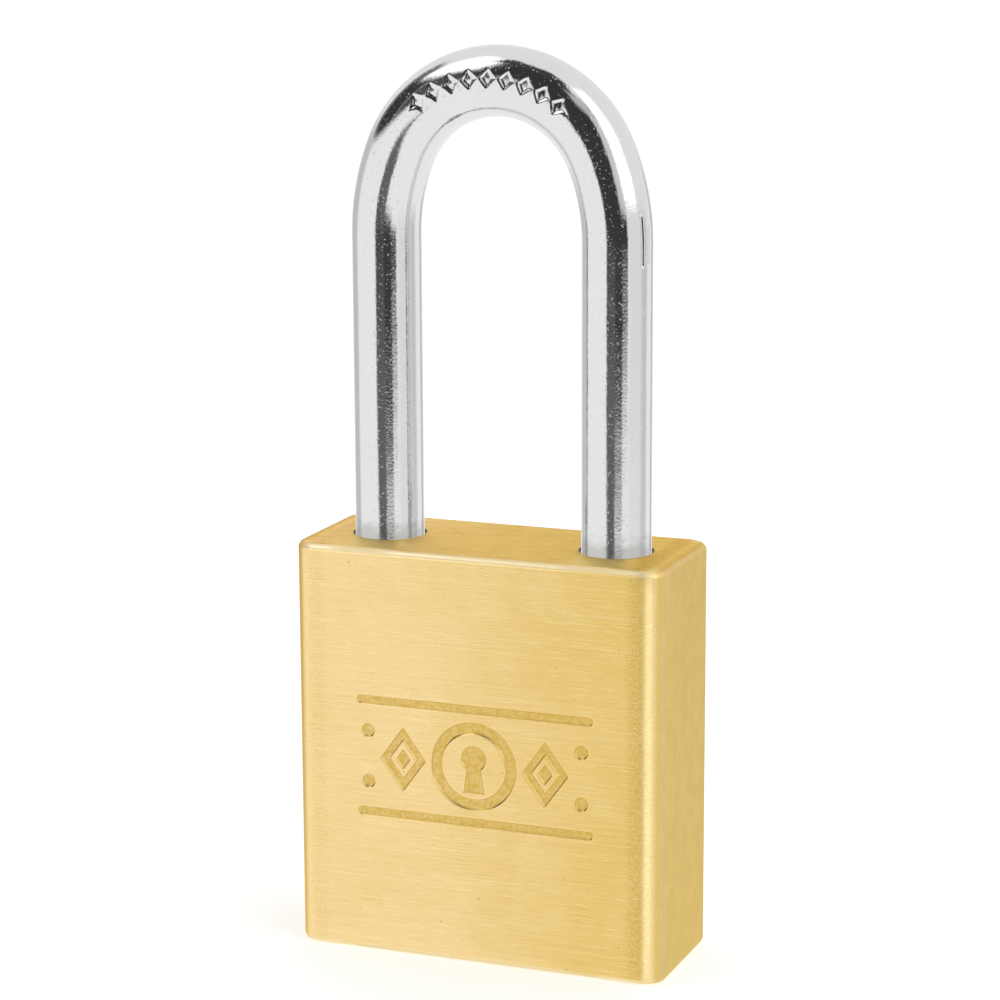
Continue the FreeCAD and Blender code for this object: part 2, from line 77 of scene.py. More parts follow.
# ---- shackle ----
CLEAR_HEIGHT = 48.0
ROD_RADIUS = 3.97
LEG_X = 13.8
CROWN_RADIUS = 12.9
SHOULDER_RADIUS = 25.0
BOW_TOP_CENTRE_Z = BODY_HEIGHT + CLEAR_HEIGHT + ROD_RADIUS
BOW_RISE = CROWN_RADIUS + math.sqrt(
    (SHOULDER_RADIUS - CROWN_RADIUS) ** 2 - (SHOULDER_RADIUS - LEG_X) ** 2)
SPRING_LINE_Z = BOW_TOP_CENTRE_Z - BOW_RISE
CROWN_Z = BOW_TOP_CENTRE_Z - CROWN_RADIUS
SHOULDER_ANGLE = math.degrees(math.atan2(BOW_RISE - CROWN_RADIUS, SHOULDER_RADIUS - LEG_X))
TOE_END_Z = 34.2
HEEL_END_Z = 19.0
LEG_END_CHAMFER = 0.6
BALL_Z = 39.2
LIFT = 14.2
NOTCH_RADIUS = 3.35
NOTCH_REACH = LEG_X - 8.655
NECK_DEPTH = 1.2
LEG_STEP = 2.0
NOTCH_STEP = 0.2
CHAMFER_STEP = 0.3
SCORE_STEP = 0.15
BOW_STEP_ANGLE = 2.0
MARK_STEP_ANGLE = 0.6
SCORE_STEP_ANGLE = 0.4
SCORED_FROM_ANGLE = 82
MARK_REACH_ANGLE = 19  # how far round the rod the marks can reach from their middle line
SCORE_REACH_ANGLE = 5
COARSE_AROUND = 4.5  # degrees between points round the rod: plain, over the marks, over the scores
MARK_AROUND = 1.8
SCORE_AROUND = 1.0

# ---- punched marks on the bow and scores on the toe leg ----
MARK_COUNT = 9
MARK_STEP = 9.5
MARK_TILT = -8.0
MARK_DEPTH = 0.25
MARK_SLOPE = 0.3
MARK_WIDTH = 1.5
MARK_LENGTH = 2.0
SCORE_WIDTH = 0.35
SCORE_DEPTH = 0.15
SCORE_SLOPE = 0.14
LEG_SCORES = ((63, 79.9, 85.2), (77, 79.9, 84.0))  # angle round the leg, lower and upper end

# ---- spring under the heel leg ----
SPRING_WIRE = 0.45
SPRING_RADIUS = 3.1
SPRING_TURNS = 6.5
SPRING_LOW_Z = 6.05
SPRING_HIGH_Z = 18.95
SPRING_STEPS_PER_TURN = 40
SPRING_WIRE_STEP_ANGLE = 24

# ---- camera ----
VIEW_AZIMUTH = 21.6
VIEW_ELEVATION = 12.01
VIEW_ROLL = -0.25
VIEW_DISTANCE = 356.12
VIEW_TARGET_RIGHT = -0.19
VIEW_TARGET_Z = 52.34
LENS = 113.17
SENSOR = 36.0

# ---- brass colours ----
LIGHT_GOLD = (0.955, 0.71, 0.34, 1)
# painted shade: the colour the front darkens to towards the toe side, also reached by random tone
DEEP_GOLD_TONE_AND_SHADE = (0.835, 0.595, 0.19, 1)
# dark streaks in the brushing, also used for painted dark reflections by the corners
DARK_GOLD_STREAK_AND_SHADE = (0.69, 0.475, 0.13, 1)
# light streaks in the brushing, also used for painted highlights on the corners
PALE_GOLD_STREAK_AND_HIGHLIGHT = (1.0, 0.84, 0.52, 1)
# painted highlight on the top and bottom rims
RIM_HIGHLIGHT_GOLD = (1.0, 0.90, 0.64, 1)
# painted shade: darker copy of the brass for the side faces
SHADED_SIDE_GOLD = (0.785, 0.61, 0.275, 1)
# painted shade on the side faces, darker still, used for random blotches and towards the bottom
DARKER_SHADED_SIDE_GOLD = (0.715, 0.56, 0.24, 1)
# painted shade: darker copy of the brass for the top face
SHADED_TOP_GOLD = (0.84, 0.61, 0.20, 1)
# painted highlight on the top in front of the legs
PAINTED_HIGHLIGHT_GOLD = (1.0, 0.80, 0.36, 1)
STAIN_BROWN = (0.55, 0.38, 0.12, 1)
NICK_BROWN = (0.40, 0.27, 0.08, 1)
# stamped floor tone of the ornament, deepened with painted shade
ENGRAVED_TONE_AND_SHADE = (0.71, 0.475, 0.10, 1)
# painted shade on the ornament's sloping walls
SHADED_ENGRAVED_WALL = (0.56, 0.37, 0.08, 1)
GRAZING_GOLD = (1.0, 0.80, 0.45, 1)

# ---- studio ----
FLOOR_RADIUS = 8.0  # metres, far past the edge of the picture
FILL_DISTANCE = 1.2  # metres


# ---------------------------------------------------------------- small helpers

def smooth_step(t):
    t = np.clip(t, 0.0, 1.0)
    return t * t * (3 - 2 * t)


def spaced(low, high, step):
    """Even values from low to high, no further apart than step."""
    count = max(1, math.ceil((high - low) / step))
    return list(np.linspace(low, high, count + 1))


def joined(*runs):
    """Runs of rising values put end to end, each shared end kept once."""
    values = []
    for run in runs:
        values += [v for v in run if not values or v > values[-1] + 1e-6]
    return values


def add_object(name, mesh):
    obj = bpy.data.objects.new(name, mesh)
    bpy.context.scene.collection.objects.link(obj)
    return obj


def grid_faces(rows, columns, closed):
    """Quads between rows of points, joined round when closed."""
    row, column = np.meshgrid(np.arange(rows - 1), np.arange(columns if closed else columns - 1),
                              indexing="ij")
    beside = (column + 1) % columns
    quads = [row * columns + column, row * columns + beside,
             (row + 1) * columns + beside, (row + 1) * columns + column]
    return np.stack(quads, axis=-1).reshape(-1, 4).tolist()


# ---------------------------------------------------------------- body

def rule_distance(x, z, side):
    reach = (EMBLEM_RULE_LENGTH - EMBLEM_RULE_WIDTH) / 2
    along = np.maximum(np.abs(x) - reach, 0.0)
    return np.hypot(along, z - side * EMBLEM_HALF_HEIGHT) - EMBLEM_RULE_WIDTH / 2


def lozenge_distance(x, z, width, height):
    half_w = width / 2
    half_h = height / 2
    return (np.abs(x) / half_w + np.abs(z) / half_h - 1) * half_w * half_h / math.hypot(half_w, half_h)


def keyhole_distance(x, z):
    head = np.hypot(x, z - KEYHOLE_RISE) - KEYHOLE_RADIUS
    waist = KEYHOLE_RADIUS * 0.45
    foot_half = KEYHOLE_RADIUS * 0.85
    flare = (foot_half - waist) / (KEYHOLE_FOOT + KEYHOLE_RISE)
    side = (np.abs(x) - waist - flare * (KEYHOLE_RISE - z)) / math.hypot(1, flare)
    foot = np.maximum(np.maximum(side, -KEYHOLE_FOOT - z), z - KEYHOLE_RISE)
    return np.minimum(head, foot)


def emblem_distance(x, z):
    """Signed distance to the ornament's outline, negative inside its strokes."""
    z = z - EMBLEM_Z
    ring_mid = (RING_OUTER_RADIUS + RING_INNER_RADIUS) / 2
    ring_half = (RING_OUTER_RADIUS - RING_INNER_RADIUS) / 2
    parts = [rule_distance(x, z, -1), rule_distance(x, z, 1), keyhole_distance(x, z),
             np.abs(np.hypot(x, z) - ring_mid) - ring_half]
    slope = math.hypot(LOZENGE_WIDTH, LOZENGE_HEIGHT)
    inset_w = LOZENGE_WIDTH - 2 * LOZENGE_BAND * slope / LOZENGE_HEIGHT
    inset_h = LOZENGE_HEIGHT - 2 * LOZENGE_BAND * slope / LOZENGE_WIDTH
    beside = np.abs(x) - LOZENGE_X
    parts.append(np.maximum(lozenge_distance(beside, z, LOZENGE_WIDTH, LOZENGE_HEIGHT),
                            -lozenge_distance(beside, z, inset_w, inset_h)))
    parts.append(lozenge_distance(beside, z, inset_w / 2, inset_h / 2))
    parts.append(np.hypot(np.abs(x) - STUD_X, np.abs(z) - STUD_RISE) - STUD_RADIUS)
    return np.minimum.reduce(parts)


def engraved_depth(x, z):
    return ENGRAVING_DEPTH * smooth_step(0.5 - emblem_distance(x, z) / ENGRAVING_SLOPE)


def body_outline():
    """Points round the block at full width, with the outward direction at each: front, right, back, left."""
    flat_x = HALF_WIDTH - CORNER_RADIUS
    flat_y = HALF_DEPTH - CORNER_RADIUS
    engraved = EMBLEM_RULE_LENGTH / 2 + 0.5
    front = joined(spaced(-flat_x, -engraved, WALL_STEP), spaced(-engraved, engraved, ENGRAVING_GRID),
                   spaced(engraved, flat_x, WALL_STEP))
    points = [(x, -HALF_DEPTH, 0, -1) for x in front]

    def corner(centre_x, centre_y, start):
        for step in range(1, CORNER_STEPS):
            angle = math.radians(start + step * 90 / CORNER_STEPS)
            out_x = math.cos(angle)
            out_y = math.sin(angle)
            points.append((centre_x + CORNER_RADIUS * out_x, centre_y + CORNER_RADIUS * out_y, out_x, out_y))

    corner(flat_x, -flat_y, -90)
    points += [(HALF_WIDTH, y, 1, 0) for y in spaced(-flat_y, flat_y, WALL_STEP)]
    corner(flat_x, flat_y, 0)
    points += [(-x, HALF_DEPTH, 0, 1) for x in spaced(-flat_x, flat_x, WALL_STEP)]
    corner(-flat_x, flat_y, 90)
    points += [(-HALF_WIDTH, -y, -1, 0) for y in spaced(-flat_y, flat_y, WALL_STEP)]
    corner(-flat_x, -flat_y, 180)
    return np.array(points)


def body_rows():
    """Rows from the underside to the top as (height, how far in from full width)."""
    rounding = [math.radians(a) for a in spaced(0, 90, RIM_STEP_ANGLE)]
    low = [(RIM_RADIUS * (1 - math.sin(a)), RIM_RADIUS * (1 - math.cos(a))) for a in reversed(rounding)]
    high = [(BODY_HEIGHT - z, inset) for z, inset in reversed(low)]
    half = EMBLEM_HALF_HEIGHT + EMBLEM_RULE_WIDTH / 2 + 0.3
    walls = joined(spaced(RIM_RADIUS, EMBLEM_Z - half, ROW_STEP),
                   spaced(EMBLEM_Z - half, EMBLEM_Z + half, ENGRAVING_GRID),
                   spaced(EMBLEM_Z + half, BODY_HEIGHT - RIM_RADIUS, ROW_STEP))
    rows = [(0, RIM_RADIUS + FLAT_RING)] + low[:-1] + [(z, 0) for z in walls] + high[1:]
    return rows + [(BODY_HEIGHT, RIM_RADIUS + FLAT_RING)]


def body_skin():
    """Outer skin of the block with the ornament sunk in its front: points and quads."""
    outline = body_outline()
    rows = np.array(body_rows())
    z = np.repeat(rows[:, :1], len(outline), axis=1)
    inset = np.repeat(rows[:, 1:], len(outline), axis=1)
    x = outline[None, :, 0] - inset * outline[None, :, 2]
    y = outline[None, :, 1] - inset * outline[None, :, 3]
    front = (outline[None, :, 3] == -1) & (inset == 0)
    y = np.where(front, y + engraved_depth(x, z), y)
    points = np.stack([x, y, z], axis=-1).reshape(-1, 3) * MM
    return points, grid_faces(len(rows), len(outline), True)


def keep_inner_faces(source):
    """Copy of the block's bores and chamber, without its outer skin."""
    inner = bmesh.new()
    inner.from_mesh(source.data)
    bmesh.ops.remove_doubles(inner, verts=inner.verts, dist=1e-7)
    reach_x = INNER_REACH_X * MM
    reach_y = INNER_REACH_Y * MM
    top = BODY_HEIGHT * MM

    def outside(face):
        heights = [v.co.z for v in face.verts]
        on_plane = max(heights) < 1e-6 or min(heights) > top - 1e-6
        return on_plane or any(abs(v.co.x) > reach_x or abs(v.co.y) > reach_y for v in face.verts)

    skin = [f for f in inner.faces if outside(f)]
    bmesh.ops.delete(inner, geom=skin, context="FACES")
    return inner


def build_body():
    """The block as one closed mesh: coded skin, flats filled round the bores, bores from the CAD part."""
    points, quads = body_skin()
    block = keep_inner_faces(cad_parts["body"])
    for face in block.faces:
        face.material_index = 1
        face.smooth = True
    for edge in block.edges:
        bend = edge.calc_face_angle(math.pi)
        edge.smooth = not edge.is_boundary and bend < math.radians(BORE_SHARP_ANGLE)
    verts = [block.verts.new(p) for p in points]
    for quad in quads:
        block.faces.new([verts[i] for i in quad]).smooth = True
    block.normal_update()
    for height in (0.0, BODY_HEIGHT * MM):
        rim = [e for e in block.edges
               if e.is_boundary and all(abs(v.co.z - height) < 1e-6 for v in e.verts)]
        filled = bmesh.ops.triangle_fill(block, use_beauty=True, edges=rim)["geom"]
        for face in filled:
            if isinstance(face, bmesh.types.BMFace):
                face.smooth = True
                face.material_index = 0
    bmesh.ops.recalc_face_normals(block, faces=block.faces)
    mesh = bpy.data.meshes.new("padlock_body")
    block.to_mesh(mesh)
    block.free()
    return add_object("padlock_body", mesh)


# ---------------------------------------------------------------- shackle

def shackle_stations():
    """Stations along the rod as (part, position, centre x, centre z, outward x, outward z)."""
    stations = []
    notch = NOTCH_RADIUS + 0.3
    heel = joined(spaced(HEEL_END_Z, HEEL_END_Z + LEG_END_CHAMFER, CHAMFER_STEP),
                  spaced(HEEL_END_Z + LEG_END_CHAMFER, BALL_Z + notch, NOTCH_STEP),
                  spaced(BALL_Z + notch, SPRING_LINE_Z, LEG_STEP))
    stations += [("heel", z, -LEG_X, z, -1.0, 0.0) for z in heel]
    marked = (MARK_COUNT - 1) / 2 * MARK_STEP + 3
    arcs = (
        ("shoulder", SHOULDER_RADIUS - LEG_X, SPRING_LINE_Z, SHOULDER_RADIUS,
         spaced(-90, SHOULDER_ANGLE - 90, BOW_STEP_ANGLE)),
        ("crown", 0.0, CROWN_Z, CROWN_RADIUS,
         joined(spaced(SHOULDER_ANGLE - 90, -marked, BOW_STEP_ANGLE),
                spaced(-marked, marked, MARK_STEP_ANGLE),
                spaced(marked, 90 - SHOULDER_ANGLE, BOW_STEP_ANGLE))),
        ("toe_shoulder", LEG_X - SHOULDER_RADIUS, SPRING_LINE_Z, SHOULDER_RADIUS,
         joined(spaced(90 - SHOULDER_ANGLE, SCORED_FROM_ANGLE, BOW_STEP_ANGLE),
                spaced(SCORED_FROM_ANGLE, 90, SCORE_STEP_ANGLE))),
    )
    for part, centre_x, centre_z, radius, angles in arcs:
        for angle in angles[1:]:
            out_x = math.sin(math.radians(angle))
            out_z = math.cos(math.radians(angle))
            stations.append((part, angle, centre_x + radius * out_x, centre_z + radius * out_z, out_x, out_z))
    scored = min(low for _, low, _ in LEG_SCORES) - 0.4
    toe = joined(spaced(TOE_END_Z, TOE_END_Z + LEG_END_CHAMFER, CHAMFER_STEP),
                 spaced(TOE_END_Z + LEG_END_CHAMFER, BALL_Z + notch, NOTCH_STEP),
                 spaced(BALL_Z + notch, scored, LEG_STEP), spaced(scored, SPRING_LINE_Z, SCORE_STEP))
    stations += [("toe", z, LEG_X, z, 1.0, 0.0) for z in reversed(toe[:-1])]
    return stations


def section_angles():
    """Angles round the rod in degrees, from the front towards the outside of the bow."""
    low_mark = -MARK_TILT - MARK_REACH_ANGLE
    high_mark = -MARK_TILT + MARK_REACH_ANGLE
    low_score = min(bearing for bearing, _, _ in LEG_SCORES) - SCORE_REACH_ANGLE
    high_score = max(bearing for bearing, _, _ in LEG_SCORES) + SCORE_REACH_ANGLE
    return joined(spaced(low_mark, high_mark, MARK_AROUND), spaced(high_mark, low_score, COARSE_AROUND),
                  spaced(low_score, high_score, SCORE_AROUND),
                  spaced(high_score, low_mark + 360, COARSE_AROUND))[:-1]


def notch_radius(angle, rise):
    """How far out the rod reaches inside a ball's notch, which faces the other leg."""
    towards = -np.sin(angle) * NOTCH_REACH
    inside = towards ** 2 - (NOTCH_REACH ** 2 + rise ** 2 - NOTCH_RADIUS ** 2)
    reach = towards - np.sqrt(np.maximum(inside, 0.0))
    return np.where((inside > 0) & (towards > 0), reach, ROD_RADIUS)


def leg_radius(part, angle, z):
    """Rod radius on a straight leg: end chamfer, ball notch, and on the heel the neck and groove."""
    end = HEEL_END_Z if part == "heel" else TOE_END_Z
    chamfer = max(0.0, LEG_END_CHAMFER - (z - end))
    radius = np.full_like(angle, ROD_RADIUS - chamfer)
    radius = np.minimum(radius, notch_radius(angle, z - BALL_Z))
    if part == "heel":
        groove_z = BALL_Z - LIFT
        if z >= groove_z:
            radius = np.minimum(radius, ROD_RADIUS - min(NECK_DEPTH, max(0.0, BALL_Z - z)))
        if abs(z - groove_z) < NOTCH_RADIUS:
            radius = np.minimum(radius, NOTCH_REACH - math.sqrt(NOTCH_RADIUS ** 2 - (z - groove_z) ** 2))
    return radius


def score_depth(angle, z):
    """Depth of the fine lengthwise scores at a height on the toe leg."""
    depth = np.zeros_like(angle)
    for bearing, low, high in LEG_SCORES:
        across = np.abs(angle - math.radians(bearing)) * ROD_RADIUS - SCORE_WIDTH / 2
        along = max(low - z, z - high)
        distance = np.maximum(across, along)
        depth = np.maximum(depth, SCORE_DEPTH * smooth_step(0.5 - distance / SCORE_SLOPE))
    return depth


def mark_depth(angle, bow_angle):
    """Depth of the punched lozenges at a station of the crown."""
    depth = np.zeros_like(angle)
    down = (angle + math.radians(MARK_TILT)) * ROD_RADIUS
    reach = CROWN_RADIUS + ROD_RADIUS * np.sin(angle)
    for index in range(MARK_COUNT):
        middle = (index - (MARK_COUNT - 1) / 2) * MARK_STEP
        along = math.radians(bow_angle - middle) * reach
        distance = lozenge_distance(along, down, MARK_WIDTH, MARK_LENGTH)
        depth = np.maximum(depth, MARK_DEPTH * smooth_step(0.5 - distance / MARK_SLOPE))
    return depth


def build_shackle():
    angles = np.radians(section_angles())
    rings = []
    for part, position, centre_x, centre_z, out_x, out_z in shackle_stations():
        radius = np.full_like(angles, ROD_RADIUS)
        if part in ("heel", "toe"):
            radius = leg_radius(part, angles, position)
        if part in ("toe", "toe_shoulder"):
            radius = radius - score_depth(angles, centre_z)
        if part == "crown":
            radius = radius - mark_depth(angles, position)
        side = radius * np.sin(angles)
        rings.append(np.stack([centre_x + side * out_x, -radius * np.cos(angles),
                               centre_z + side * out_z], axis=-1))
    points = np.concatenate(rings) * MM
    mesh = bpy.data.meshes.new("padlock_shackle")
    count = len(angles)
    caps = [list(range(count)), list(range(len(points) - count, len(points)))[::-1]]
    mesh.from_pydata(points.tolist(), [], grid_faces(len(rings), count, True) + caps)
    tidy = bmesh.new()
    tidy.from_mesh(mesh)
    bmesh.ops.recalc_face_normals(tidy, faces=tidy.faces)
    for face in tidy.faces:
        face.smooth = True
    cap_faces = [f for f in tidy.faces if len(f.verts) > 4]
    for edge in {e for f in cap_faces for e in f.edges}:
        edge.smooth = False
    bmesh.ops.triangulate(tidy, faces=cap_faces)
    tidy.to_mesh(mesh)
    tidy.free()
    return add_object("padlock_shackle", mesh)


# ---------------------------------------------------------------- spring

def build_spring():
    """Coil of round wire standing in the heel bore."""
    low = SPRING_LOW_Z + SPRING_WIRE
    high = SPRING_HIGH_Z - SPRING_WIRE
    section = np.radians(np.arange(0, 360, SPRING_WIRE_STEP_ANGLE))
    steps = int(SPRING_TURNS * SPRING_STEPS_PER_TURN)
    rings = []
    for step in range(steps + 1):
        turn = 2 * math.pi * step / SPRING_STEPS_PER_TURN
        out = np.array([math.cos(turn), math.sin(turn), 0.0])
        centre = out * SPRING_RADIUS + np.array([-LEG_X, 0, low + (high - low) * step / steps])
        ring = centre + SPRING_WIRE * (np.outer(np.cos(section), out)
                                       + np.outer(np.sin(section), (0.0, 0.0, 1.0)))
        rings.append(ring)
    points = np.concatenate(rings) * MM
    count = len(section)
    caps = [list(range(count)), list(range(len(points) - count, len(points)))[::-1]]
    mesh = bpy.data.meshes.new("lift_spring")
    mesh.from_pydata(points.tolist(), [], grid_faces(len(rings), count, True) + caps)
    tidy = bmesh.new()
    tidy.from_mesh(mesh)
    bmesh.ops.recalc_face_normals(tidy, faces=tidy.faces)
    for face in tidy.faces:
        face.smooth = len(face.verts) == 4
    tidy.to_mesh(mesh)
    tidy.free()
    return add_object("lift_spring", mesh)


# ---------------------------------------------------------------- node helpers

class Nodes:
    """Short ways to add and link shader nodes in one tree."""

    def __init__(self, tree):
        self.tree = tree

    def add(self, kind, **settings):
        node = self.tree.nodes.new(kind)
        for key, value in settings.items():
            setattr(node, key, value)
        return node

    def put(self, socket, value):
        if isinstance(value, bpy.types.NodeSocket):
            self.tree.links.new(value, socket)
        else:
            socket.default_value = value

    def maths(self, operation, a, b=0.0, clamp=False):
        node = self.add("ShaderNodeMath", operation=operation, use_clamp=clamp)
        self.put(node.inputs[0], a)
        self.put(node.inputs[1], b)
        return node.outputs[0]

    def product(self, first, *others):
        """All the values multiplied together."""
        for other in others:
            first = self.maths("MULTIPLY", first, other)
        return first

    def fade(self, value, low, high, at_low=0.0, at_high=1.0):
        """Smooth change from at_low to at_high as value goes from low to high."""
        node = self.add("ShaderNodeMapRange", interpolation_type="SMOOTHSTEP")
        self.put(node.inputs["Value"], value)
        self.put(node.inputs["From Min"], low)
        self.put(node.inputs["From Max"], high)
        self.put(node.inputs["To Min"], at_low)
        self.put(node.inputs["To Max"], at_high)
        return node.outputs["Result"]

    def mix(self, share, a, b):
        node = self.add("ShaderNodeMix", data_type="RGBA")
        self.put(node.inputs["Factor"], share)
        self.put(node.inputs["A"], a)
        self.put(node.inputs["B"], b)
        return node.outputs["Result"]

    def stretched(self, scale):
        """Object coordinates in millimetres, times a scale for each axis."""
        coords = self.add("ShaderNodeTexCoord").outputs["Object"]
        mapping = self.add("ShaderNodeMapping")
        self.put(mapping.inputs["Vector"], coords)
        self.put(mapping.inputs["Scale"], [s / MM for s in scale])
        return mapping.outputs["Vector"]

    def noise(self, scale, detail=2.0, roughness=0.5, distortion=0.0):
        """Noise with features about 1 / scale millimetres across along each axis."""
        node = self.add("ShaderNodeTexNoise")
        self.put(node.inputs["Vector"], self.stretched(scale))
        self.put(node.inputs["Scale"], 1.0)
        self.put(node.inputs["Detail"], detail)
        self.put(node.inputs["Roughness"], roughness)
        self.put(node.inputs["Distortion"], distortion)
        return node.outputs["Fac"]

    def bump(self, height, depth, under=None):
        """Bump whose height runs over depth millimetres."""
        node = self.add("ShaderNodeBump")
        self.put(node.inputs["Strength"], 1.0)
        self.put(node.inputs["Distance"], depth * MM)
        self.put(node.inputs["Height"], height)
        if under is not None:
            self.put(node.inputs["Normal"], under)
        return node.outputs["Normal"]

    def position(self):
        """Object x, y and z in millimetres."""
        node = self.add("ShaderNodeSeparateXYZ")
        self.put(node.inputs[0], self.stretched((1, 1, 1)))
        return node.outputs["X"], node.outputs["Y"], node.outputs["Z"]


def new_material(name):
    material = bpy.data.materials.new(name)
    material.use_nodes = True
    nodes = Nodes(material.node_tree)
    shader = material.node_tree.nodes["Principled BSDF"]
    return material, nodes, shader


# ---------------------------------------------------------------- materials

class BrassPlaces:
    """Masks from 0 to 1 that tell the faces, edges and engraved floors of the block apart."""

    def __init__(self, n):
        self.x, self.y, self.z = n.position()
        self.across = n.maths("ABSOLUTE", self.x)
        self.on_side = n.fade(self.across, HALF_WIDTH - 0.7, HALF_WIDTH - 0.15)
        self.on_top = n.fade(self.z, BODY_HEIGHT - 0.3, BODY_HEIGHT - 0.05)
        self.toe_side = n.fade(self.x, -5.0, 5.0, 0.3, 1.0)
        self.by_leg = n.fade(n.maths("ABSOLUTE", n.maths("SUBTRACT", self.across, LEG_X)), 1.5, 5.0, 0.8, 0.0)
        # painted highlight on the top in front of each leg, where the top reflects the chrome
        self.painted_highlight_by_leg = n.product(self.on_top, self.by_leg, n.fade(self.y, -3.0, -4.5))
        from_middle = n.maths("ABSOLUTE", n.maths("SUBTRACT", self.z, BODY_HEIGHT / 2))
        self.rim = n.product(n.fade(from_middle, BODY_HEIGHT / 2 - RIM_RADIUS, BODY_HEIGHT / 2 - 0.35),
                             n.fade(self.z, BODY_HEIGHT - 0.02, BODY_HEIGHT - 0.06))
        self.find_corners(n)
        self.find_engraving(n)

    def find_corners(self, n):
        """Upright strips over a corner: beside it, on its crown, and just before the side face."""
        near_edge = n.fade(n.maths("ABSOLUTE", self.y), HALF_DEPTH - 2.4, HALF_DEPTH - 1.8)
        # painted dark reflection on the front just before each corner, stronger on the toe side
        self.painted_dark_beside_corner = self.strip(n, 4.6, 3.1, 2.4, 1.6)
        # crown of each corner, which carries a painted highlight and a smoother bump
        self.corner = n.product(self.strip(n, 2.6, 1.4, 1.4, 0.5), near_edge, self.toe_side)
        # painted dark reflection along each corner just before the side face
        self.painted_dark_outer_band = n.product(self.strip(n, 1.05, 0.8, 0.6, 0.25), 0.5)
        self.heel_edge = n.product(n.fade(self.x, -HALF_WIDTH + 1.7, -HALF_WIDTH + 0.7, 0.0, 0.55),
                                   n.fade(self.across, HALF_WIDTH - 0.35, HALF_WIDTH - 0.1, 1.0, 0.0))

    def find_engraving(self, n):
        """Floors and walls of the ornament, told by how far they lie behind the front face."""
        behind = n.maths("ADD", self.y, HALF_DEPTH)
        ornament_end = EMBLEM_RULE_LENGTH / 2
        below_rim = BODY_HEIGHT - RIM_RADIUS
        flat_part = n.product(n.fade(self.across, ornament_end + 0.6, ornament_end + 0.3),
                              n.fade(self.z, below_rim, below_rim - 0.3))
        self.engraved = n.product(n.fade(behind, 0.03, 0.16), n.fade(behind, 0.5, 0.4), flat_part,
                                  n.fade(self.z, 1.0, 1.4))
        # sloping walls of the ornament, which carry painted shade
        self.wall = n.product(n.fade(behind, 0.02, 0.08), n.fade(behind, 0.16, 0.23, 1.0, 0.0),
                              flat_part, 0.75)

    def strip(self, n, rise_from, rise_to, fall_from, fall_to):
        """Strip that comes and goes at these distances in from the side faces."""
        return n.product(n.fade(self.across, HALF_WIDTH - rise_from, HALF_WIDTH - rise_to),
                         n.fade(self.across, HALF_WIDTH - fall_from, HALF_WIDTH - fall_to, 1.0, 0.0))


def brass_grain(n, place):
    """Fine brushing along the front and back, across the sides, and looser on top."""
    fine = n.noise((0.35, 9.0, 9.0), 3.0, 0.6)
    long_line = n.noise((0.05, 3.2, 3.2), 2.0, 0.55)
    brushed = n.maths("ADD", n.product(fine, 0.65), n.product(long_line, 0.35))
    side_fine = n.noise((3.0, 0.4, 3.0), 2.0, 0.55)
    streak = n.mix(place.on_side, brushed, n.fade(side_fine, 0.0, 1.0, 0.38, 0.62))
    return n.mix(place.on_top, streak, n.noise((0.4, 1.7, 1.7), 4.0, 0.65, 0.4))


def brass_faces(n, place, streak, cloud):
    """Colour of the plain faces: brushed, with painted shade deepening it towards the toe side, and duller on
    the sides and top, where darker copies of the brass paint shade.
    """
    # painted shade darkening the brass from the heel side to the toe side, with random tone from the cloud
    # noise added
    painted_shade_towards_toe = n.fade(place.x, -HALF_WIDTH + 6.0, HALF_WIDTH + 2.0, 0.0, 0.95)
    shade = n.maths("ADD", painted_shade_towards_toe, n.fade(cloud, 0.35, 0.65, -0.12, 0.16), clamp=True)
    colour = n.mix(shade, LIGHT_GOLD, DEEP_GOLD_TONE_AND_SHADE)
    contrast = n.fade(place.on_top, 0.0, 1.0, 0.38, 0.75)
    colour = n.mix(n.product(n.fade(streak, 0.53, 0.68), contrast), colour, DARK_GOLD_STREAK_AND_SHADE)
    colour = n.mix(n.fade(streak, 0.47, 0.33, 0.0, 0.42), colour, PALE_GOLD_STREAK_AND_HIGHLIGHT)
    # painted shade on the side faces: a darker copy of the brass with random blotches, darker towards the
    # bottom
    blotch_and_low_darkening = n.fade(n.noise((0.55, 0.5, 0.32), 5.0, 0.7), 0.36, 0.64)
    blotch_and_low_darkening = n.maths("ADD", blotch_and_low_darkening, n.fade(place.z, 24.0, 0.0, 0.0, 0.45), clamp=True)
    colour = n.mix(n.product(place.on_side, 0.92), colour, n.mix(blotch_and_low_darkening, SHADED_SIDE_GOLD, DARKER_SHADED_SIDE_GOLD))
    # painted shade on the top face, deepening towards the toe side
    return n.mix(n.product(place.on_top, n.fade(place.x, -HALF_WIDTH, 4.0, 0.0, 0.6)), colour, SHADED_TOP_GOLD)


def brass_wear_and_highlight(n, place, colour, speck):
    """Stains, painted highlights on the top in front of the legs, and small dark nicks."""
    stain = n.fade(n.noise((0.24, 0.3, 0.3), 4.0, 0.7, 1.2), 0.56, 0.78, 0.0, 0.45)
    stained = n.product(stain, n.maths("ADD", n.product(place.on_top, 0.8), 0.08))
    colour = n.mix(stained, colour, STAIN_BROWN)
    # painted highlight on the top in front of the legs
    colour = n.mix(place.painted_highlight_by_leg, colour, PAINTED_HIGHLIGHT_GOLD)
    return n.mix(n.product(speck, n.maths("SUBTRACT", 1.0, place.on_side)), colour, NICK_BROWN)


